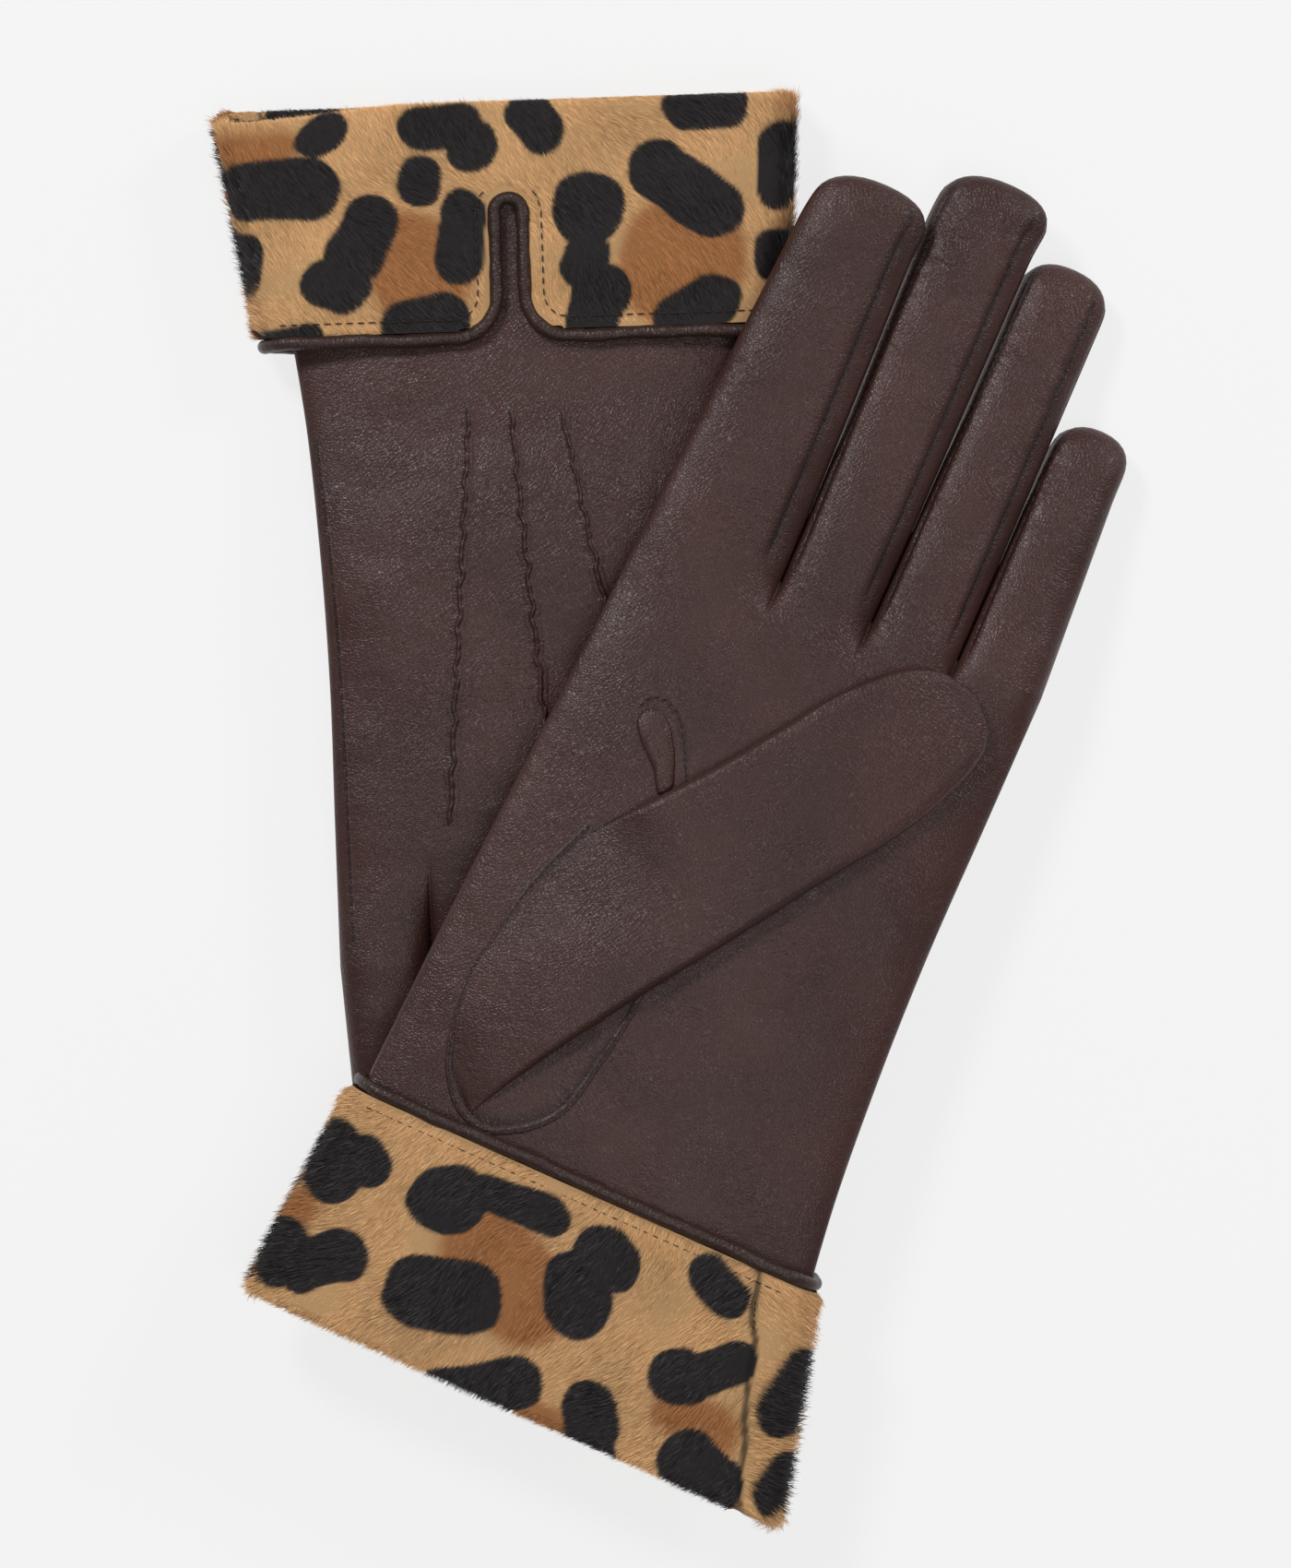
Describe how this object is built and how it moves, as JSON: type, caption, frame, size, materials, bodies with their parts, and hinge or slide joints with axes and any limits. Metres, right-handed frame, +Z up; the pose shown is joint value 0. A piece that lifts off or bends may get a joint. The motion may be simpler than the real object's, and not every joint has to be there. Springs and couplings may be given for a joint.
{
  "type": "leather gloves",
  "caption": "Pair of short leather dress gloves with turned-back spotted hide cuffs, the left lying palm up across the right, which lies palm down.",
  "frame": {"origin": "centre of the bounding box's base, where the right glove's cuff and fingertips rest", "axes": "+Y towards the right glove's cuff end, along the pair's longest extent; +X towards the left glove's fingertips; +Z up from the table"},
  "size_m": [0.1808, 0.2838, 0.0335],
  "materials": {
    "glove_leather": "soft semi-matt",
    "binding_leather": "satin",
    "printed_hide": "short hair, printed with dark spots",
    "lining": "knit"
  },
  "bodies": {
    "right_hand": {"right_back_points": "glove_leather", "right_cuff_band": "printed_hide", "right_cuff_binding": "binding_leather", "right_hand_leather": "glove_leather", "right_hand_lining": "lining", "right_quirk": "glove_leather", "right_thumb_gusset": "glove_leather", "right_thumb_root": "glove_leather"},
    "left_hand": {"left_back_points": "glove_leather", "left_cuff_band": "printed_hide", "left_cuff_binding": "binding_leather", "left_hand_leather": "glove_leather", "left_hand_lining": "lining", "left_quirk": "glove_leather", "left_thumb_gusset": "glove_leather", "left_thumb_root": "glove_leather"},
    "left_index": {"left_index_fourchette_facing_middle": "glove_leather", "left_index_leather": "glove_leather", "left_index_lining": "lining"},
    "left_middle": {"left_middle_fourchette_facing_index": "glove_leather", "left_middle_fourchette_facing_ring": "glove_leather", "left_middle_leather": "glove_leather", "left_middle_lining": "lining"},
    "left_ring": {"left_ring_fourchette_facing_little": "glove_leather", "left_ring_fourchette_facing_middle": "glove_leather", "left_ring_leather": "glove_leather", "left_ring_lining": "lining"},
    "left_little": {"left_little_fourchette_facing_ring": "glove_leather", "left_little_leather": "glove_leather", "left_little_lining": "lining"},
    "left_thumb": {"left_thumb_leather": "glove_leather", "left_thumb_lining": "lining"},
    "right_index": {"right_index_fourchette_facing_middle": "glove_leather", "right_index_leather": "glove_leather", "right_index_lining": "lining"},
    "right_middle": {"right_middle_fourchette_facing_index": "glove_leather", "right_middle_fourchette_facing_ring": "glove_leather", "right_middle_leather": "glove_leather", "right_middle_lining": "lining"},
    "right_ring": {"right_ring_fourchette_facing_little": "glove_leather", "right_ring_fourchette_facing_middle": "glove_leather", "right_ring_leather": "glove_leather", "right_ring_lining": "lining"},
    "right_little": {"right_little_fourchette_facing_ring": "glove_leather", "right_little_leather": "glove_leather", "right_little_lining": "lining"},
    "right_thumb": {"right_thumb_leather": "glove_leather", "right_thumb_lining": "lining"}
  },
  "joints": [
    {"name": "left_glove_lift", "type": "slide", "parent": "right_hand", "child": "left_hand", "axis": [0, 0, 1], "range_m": [0, 0.06]},
    {"name": "left_index_bend", "type": "hinge", "parent": "left_hand", "child": "left_index", "pos_m": [0.00969, 0.05095, 0.0253], "axis": [0.9094, -0.4068, -0.0872], "range_deg": [0, 90]},
    {"name": "left_middle_bend", "type": "hinge", "parent": "left_hand", "child": "left_middle", "pos_m": [0.03214, 0.0409, 0.023], "axis": [0.9094, -0.4068, -0.0872], "range_deg": [0, 90]},
    {"name": "left_ring_bend", "type": "hinge", "parent": "left_hand", "child": "left_ring", "pos_m": [0.04967, 0.03306, 0.0213], "axis": [0.9094, -0.4068, -0.0872], "range_deg": [0, 90]},
    {"name": "left_little_bend", "type": "hinge", "parent": "left_hand", "child": "left_little", "pos_m": [0.06582, 0.02584, 0.0197], "axis": [0.9094, -0.4068, -0.0872], "range_deg": [0, 90]},
    {"name": "left_thumb_lift", "type": "hinge", "parent": "left_hand", "child": "left_thumb", "pos_m": [-0.02696, -0.02939, 0.03322], "axis": [-0.4817, -0.8763, 0], "range_deg": [0, 150]},
    {"name": "right_index_bend", "type": "hinge", "parent": "right_hand", "child": "right_index", "pos_m": [0.00694, -0.02907, 0.0056], "axis": [0.9995, 0.0332, 0], "range_deg": [0, 90]},
    {"name": "right_middle_bend", "type": "hinge", "parent": "right_hand", "child": "right_middle", "pos_m": [-0.01764, -0.02988, 0.0056], "axis": [0.9995, 0.0332, 0], "range_deg": [0, 90]},
    {"name": "right_ring_bend", "type": "hinge", "parent": "right_hand", "child": "right_ring", "pos_m": [-0.03683, -0.03052, 0.0056], "axis": [0.9995, 0.0332, 0], "range_deg": [0, 90]},
    {"name": "right_little_bend", "type": "hinge", "parent": "right_hand", "child": "right_little", "pos_m": [-0.05452, -0.0311, 0.0056], "axis": [0.9995, 0.0332, 0], "range_deg": [0, 90]},
    {"name": "right_thumb_lift", "type": "hinge", "parent": "right_hand", "child": "right_thumb", "pos_m": [0.00466, 0.05921, 0.00036], "axis": [-0.0488, -0.9988, 0], "range_deg": [0, 150]}
  ]
}
